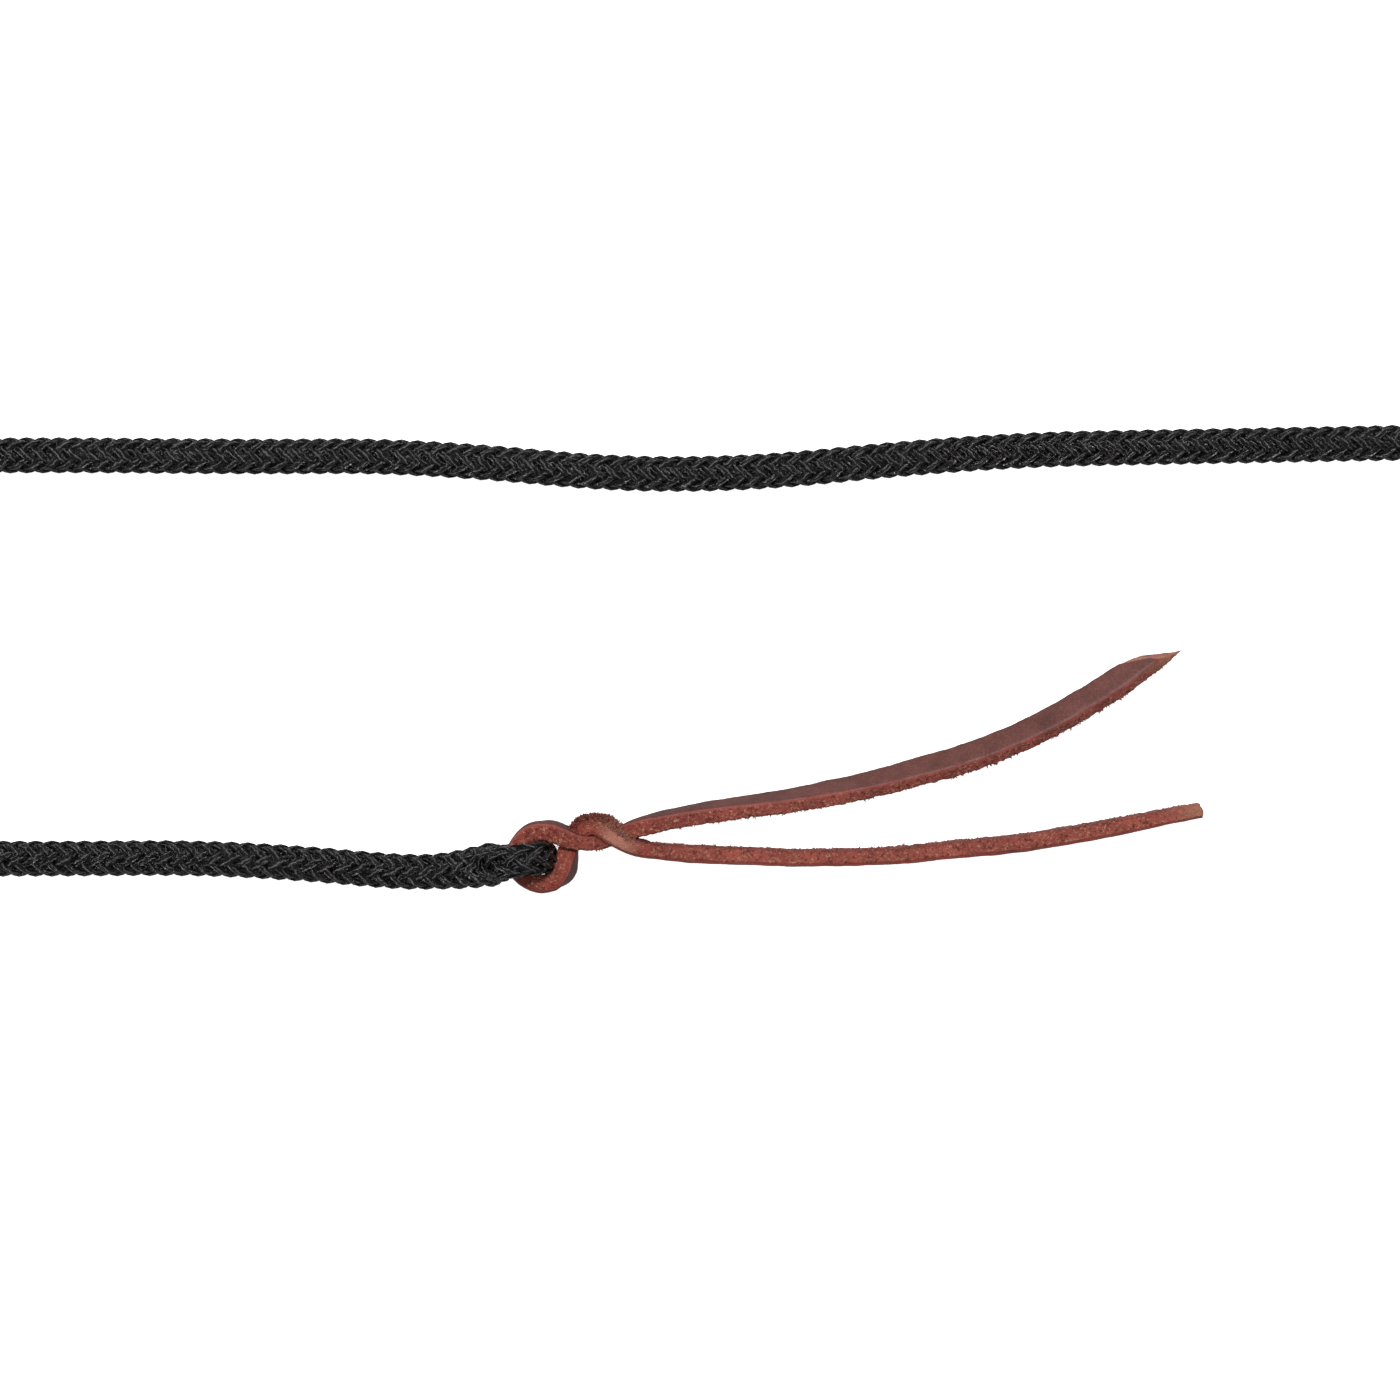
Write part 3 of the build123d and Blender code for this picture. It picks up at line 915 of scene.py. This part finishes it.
def leather_bloom(tree, place):
    """Pale wax."""
    bloom = noise(tree, place, scale=1500, detail=2.0, roughness=0.8)
    return ramp(tree, bloom, [(0.45, BLACK), (0.75, WHITE)])


def near(tree, distance_on, per_metre, full, none):
    """White up to the place full, and black from none on, both in the distance times per_metre."""
    return ramp(tree, product(tree, distance_on, per_metre), [(full, WHITE), (none, BLACK)])


def leather_material(length, rubbed_at):
    """Oiled leather: fibrous on its cut edges and flesh, smooth and waxed on its grain."""
    material, tree, shader = new_material(
        "oiled_leather", LEATHER_OILED, roughness=0.7, Specular_IOR_Level=0.2
    )
    around, on = uv_parts(tree, "strand")
    side = maths(tree, "DIVIDE", around, FLESH_TO)
    place = object_place(tree)
    fibrous = ramp(tree, side, LEATHER_FIBRE)
    smooth_side = maths(tree, "SUBTRACT", 1.0, fibrous)
    flecks = product(tree, leather_flecks(tree, place), fibrous)
    rubbed = near(tree, apart(tree, on, rubbed_at), 60.0, 0.15, 0.55)
    from_tip = maths(tree, "MINIMUM", on, maths(tree, "SUBTRACT", length, on))
    at_tip = near(tree, from_tip, 40.0, 0.1, 0.6)
    colour = leather_tint(tree, place, side, on, rubbed_at)
    layers = [  # mask, strength, colour
        (flecks, 0.75, LEATHER_FLECK),
        (product(tree, leather_pits(tree, place), fibrous), 0.75, LEATHER_PIT),
        (product(tree, leather_bloom(tree, place), smooth_side), 0.12, GRAIN_BLOOM),
        (product(tree, rubbed, fibrous), 0.45, RUBBED_COLOUR),
        (product(tree, at_tip, fibrous), 0.4, TIP_COLOUR),
    ]
    for mask, strength, tint in layers:
        colour = mixed(tree, product(tree, mask, strength), colour, tint)
    tree.links.new(colour, shader.inputs["Base Color"])
    tree.links.new(scaled(tree, fibrous, 0.3, 0.48), shader.inputs["Roughness"])
    coarse = noise(tree, place, scale=1300, detail=4.0, roughness=0.75)
    coarse = product(tree, coarse, scaled(tree, fibrous, 0.9, 0.1))
    bump(tree, shader, scaled(tree, flecks, 0.4, coarse), distance=0.0007)
    return material


def metal_material(name, colour, dull, roughness):
    """Cast or drawn metal with duller patches and fine marks."""
    material, tree, shader = new_material(name, colour, roughness, Metallic=1.0)
    place = object_place(tree)
    patches = noise(tree, place, scale=160)
    tone = ramp(tree, patches, [(0.3, dull), (0.65, colour)])
    tree.links.new(tone, shader.inputs["Base Color"])
    tree.links.new(scaled(tree, patches, 0.35, roughness - 0.15), shader.inputs["Roughness"])
    bump(tree, shader, noise(tree, place, scale=1400, detail=3.0), distance=0.00008, strength=0.6)
    return material


# --- scene ----------------------------------------------------------------------------------


def make_camera():
    """Straight down on the middle of the view."""
    data = bpy.data.cameras.new("camera")
    data.sensor_width = CAMERA_SENSOR
    data.lens = CAMERA_SENSOR * CAMERA_HIGH / VIEW_WIDTH
    data.clip_end = 10
    camera = bpy.data.objects.new("camera", data)
    camera.location = (*CAMERA_AT, CAMERA_HIGH)
    bpy.context.scene.collection.objects.link(camera)
    bpy.context.scene.camera = camera


def make_floor():
    """A pale floor that gives off light, just under the part, and isn't seen in reflections."""
    reach = 6.0
    corners = [(-reach, -reach, 0), (reach, -reach, 0), (reach, reach, 0), (-reach, reach, 0)]
    floor = mesh_object("floor", np.array(corners), np.array([[0, 1, 2, 3]]), flat=True)
    floor.location.z = -0.0002
    floor.visible_glossy = False
    material, _, shader = new_material("floor_white", (0.6, 0.6, 0.6), 0.9)
    shader.inputs["Emission Color"].default_value = (1, 1, 1, 1)
    shader.inputs["Emission Strength"].default_value = 0.9
    floor.data.materials.append(material)


def soft_light(name, at, size, power):
    """A square lamp that faces the middle of the view."""
    data = bpy.data.lights.new(name, "AREA")
    data.shape = "SQUARE"
    data.size = size
    data.energy = power
    lamp = bpy.data.objects.new(name, data)
    lamp.location = at
    aim = Vector((*CAMERA_AT, 0)) - Vector(at)
    lamp.rotation_euler = aim.to_track_quat("-Z", "Y").to_euler()
    bpy.context.scene.collection.objects.link(lamp)


def make_light():
    """An even pale sky, a key light from the upper left and a weak fill from the lower right."""
    world = bpy.data.worlds.new("studio")
    bpy.context.scene.world = world
    world.use_nodes = True
    background = world.node_tree.nodes["Background"]
    background.inputs["Color"].default_value = (1, 1, 1, 1)
    background.inputs["Strength"].default_value = 0.30
    soft_light("key", at=(-0.5, 0.7, 1.6), size=0.5, power=49)
    soft_light("fill", at=(0.9, -0.6, 1.4), size=1.0, power=8)
    bpy.context.scene.view_settings.view_transform = "Standard"


def make_rope(material):
    """The rope from throat to throat, and the line that it follows."""
    line, run = evenly(smooth_line(rope_points()), STRAND_STEP)
    wide = np.ones(len(run))
    high = np.ones(len(run))
    for gap, length in ((run, POPPER_SWELL), (run[-1] - run, SNAP_SWELL)):
        swell = np.array([1 - smooth(g / length) for g in gap])
        close = np.array([sqrt(smooth(g / THROAT + THROAT_OPEN)) for g in gap])
        wide *= (1 + SWELL_WIDER * swell) * close
        high *= (1 + SWELL_HIGHER * swell) * close
    high = np.minimum(high, line[:, 2] / STRAND_REACH)  # so that it rests on the floor
    share = np.array([1 - 2 * smooth((r - ROLL_FROM) / ROLL_LENGTH) for r in run])
    rope = braid("lead_rope", line, wide, high, roll=pi / STRANDS * share)
    rope.data.materials.append(material)
    return rope, line


def make_eye(name, material, at, along, hole_r):
    """The splice round the leather or the snap's ring: along is the way out of the throat."""
    line, run = evenly(smooth_line(eye_points(at, along, hole_r)), EYE_STEP)
    across = np.array(Vector((-along.y, along.x, 0)))
    wide = np.full(len(run), EYE_HALF_WIDTH / (ROPE_D / 2))
    high = np.full(len(run), EYE_LEG_T / ROPE_D)
    eye = braid(name, line, wide, high, across, EYE_BLUNT)
    eye.data.materials.append(material)
    return eye


def make_lead():
    """The rope with its two eyes, on the rope's body in place of their CAD solids."""
    material = rope_material()
    rope, line = make_rope(material)
    popper_along = Vector((cos(POPPER_HEADING), sin(POPPER_HEADING), 0))
    popper_eye = make_eye("popper_eye_braid", material, POPPER_AT, popper_along, POPPER_HOLE_R)
    snap_eye = make_eye("snap_eye_braid", material, SNAP_AT, Vector((0, -1, 0)), SNAP_HOLE_R)
    for piece in (rope, popper_eye, snap_eye):
        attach(piece, "rope")
    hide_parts("rope_cover", "rope_core", "rope_coil", "rope_tail")
    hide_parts("popper_eye")
    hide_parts("snap_eye")


def dress_snap():
    """The snap's own CAD solids, in brass and spring wire."""
    brass = metal_material("satin_brass", (0.55, 0.38, 0.18), (0.40, 0.26, 0.11), 0.36)
    steel = metal_material("spring_wire", (0.62, 0.62, 0.64), (0.5, 0.5, 0.52), 0.3)
    for name in ("swivel_eye", "snap_body", "barrel_plug", "snap_bolt", "thumb_knob"):
        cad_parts[name].material_slots[0].material = brass
    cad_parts["bolt_spring"].material_slots[0].material = steel


def shorten_spring():
    """The spring, given a mesh of its own."""
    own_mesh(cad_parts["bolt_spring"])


make_camera()
make_floor()
make_light()
make_lead()
make_popper()
dress_snap()
shorten_spring()
